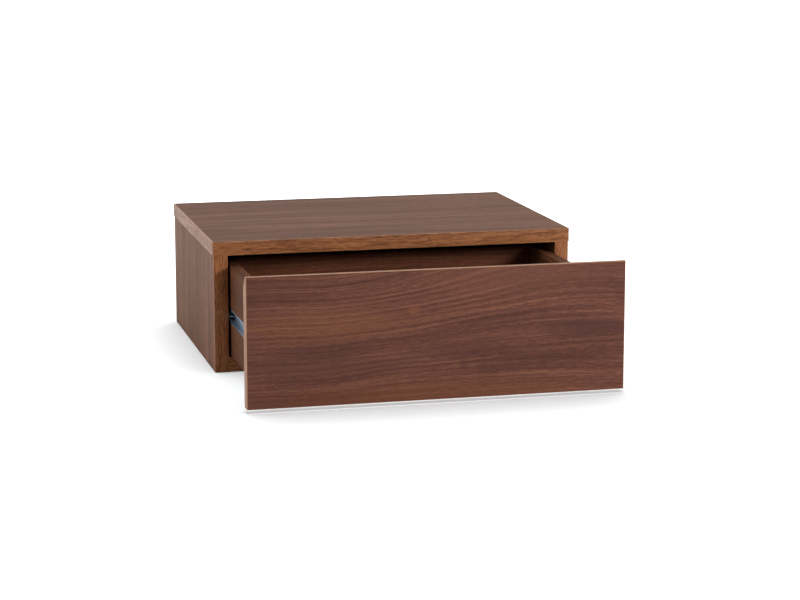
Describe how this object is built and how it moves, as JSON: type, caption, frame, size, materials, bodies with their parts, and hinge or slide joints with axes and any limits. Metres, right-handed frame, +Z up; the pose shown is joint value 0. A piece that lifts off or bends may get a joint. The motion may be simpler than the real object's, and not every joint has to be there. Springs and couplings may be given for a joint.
{
  "type": "floating nightstand",
  "caption": "Wall-hung nightstand in walnut-look board, with a drawer on ball bearing slides. Its overlay front has a bevelled grip and no handle.",
  "frame": {"origin": "centre of the back board's rear face, which lies on the wall", "axes": "+X to the right seen from the front, +Y into the wall, +Z up"},
  "size_m": [0.42, 0.5021, 0.15],
  "materials": {
    "top_board": "walnut-look melamine, satin",
    "side_board": "walnut-look melamine, satin",
    "inner_board": "walnut-look melamine, satin",
    "case_banding": "wood-grain edge banding, satin",
    "end_banding": "pale wood-grain edge banding, satin",
    "front_board": "walnut-look melamine, satin",
    "front_banding": "pale wood-grain edge banding, satin",
    "drawer_board": "plain brown foil, matt",
    "zinc_steel": "zinc plated sheet",
    "cage_steel": "plated sheet with polished balls",
    "screw_steel": "zinc plated",
    "black_plastic": "moulded, matt",
    "beech": "bare beech"
  },
  "bodies": {
    "case": {"top_panel": "top_board", "bottom_panel": "inner_board", "back_panel": "inner_board", "left_side_panel": "side_board", "right_side_panel": "side_board", "top_front_band": "case_banding", "bottom_front_band": "case_banding", "top_left_band": "end_banding", "left_side_front_band": "case_banding", "left_cabinet_rail": "zinc_steel", "left_rail_stop": "black_plastic", "left_rail_screw_1": "screw_steel", "left_rail_screw_2": "screw_steel", "left_top_dowel_1": "beech", "left_top_dowel_2": "beech", "left_bottom_dowel_1": "beech", "left_bottom_dowel_2": "beech", "left_back_dowel_1": "beech", "left_back_dowel_2": "beech", "top_right_band": "end_banding", "right_side_front_band": "case_banding", "right_cabinet_rail": "zinc_steel", "right_rail_stop": "black_plastic", "right_rail_screw_1": "screw_steel", "right_rail_screw_2": "screw_steel", "right_top_dowel_1": "beech", "right_top_dowel_2": "beech", "right_bottom_dowel_1": "beech", "right_bottom_dowel_2": "beech", "right_back_dowel_1": "beech", "right_back_dowel_2": "beech"},
    "drawer": {"drawer_front": "front_board", "drawer_front_top_band": "front_banding", "drawer_front_bottom_band": "front_banding", "drawer_front_left_band": "front_banding", "drawer_front_right_band": "front_banding", "drawer_front_grip_band": "front_banding", "drawer_left_side": "drawer_board", "drawer_right_side": "drawer_board", "drawer_back": "drawer_board", "drawer_bottom": "drawer_board", "drawer_bottom_screw_1": "screw_steel", "drawer_bottom_screw_2": "screw_steel", "left_drawer_channel": "zinc_steel", "left_channel_screw_1": "screw_steel", "left_channel_screw_2": "screw_steel", "left_drawer_front_dowel_1": "beech", "left_drawer_front_dowel_2": "beech", "left_drawer_back_dowel_1": "beech", "left_drawer_back_dowel_2": "beech", "right_drawer_channel": "zinc_steel", "right_channel_screw_1": "screw_steel", "right_channel_screw_2": "screw_steel", "right_drawer_front_dowel_1": "beech", "right_drawer_front_dowel_2": "beech", "right_drawer_back_dowel_1": "beech", "right_drawer_back_dowel_2": "beech"},
    "left_ball_cage": {"left_ball_cage": "cage_steel"},
    "right_ball_cage": {"right_ball_cage": "cage_steel"}
  },
  "joints": [
    {"name": "drawer_slide", "type": "slide", "parent": "case", "child": "drawer", "axis": [0, -1, 0], "range_m": [-0.184, 0.0018]},
    {"name": "left_cage_roll", "type": "slide", "parent": "case", "child": "left_ball_cage", "axis": [0, -1, 0], "range_m": [-0.092, 0.0009]},
    {"name": "right_cage_roll", "type": "slide", "parent": "case", "child": "right_ball_cage", "axis": [0, -1, 0], "range_m": [-0.092, 0.0009]}
  ],
  "couplings": [
    {"joint": "left_cage_roll", "follows": "drawer_slide", "ratio": 0.5},
    {"joint": "right_cage_roll", "follows": "drawer_slide", "ratio": 0.5}
  ]
}
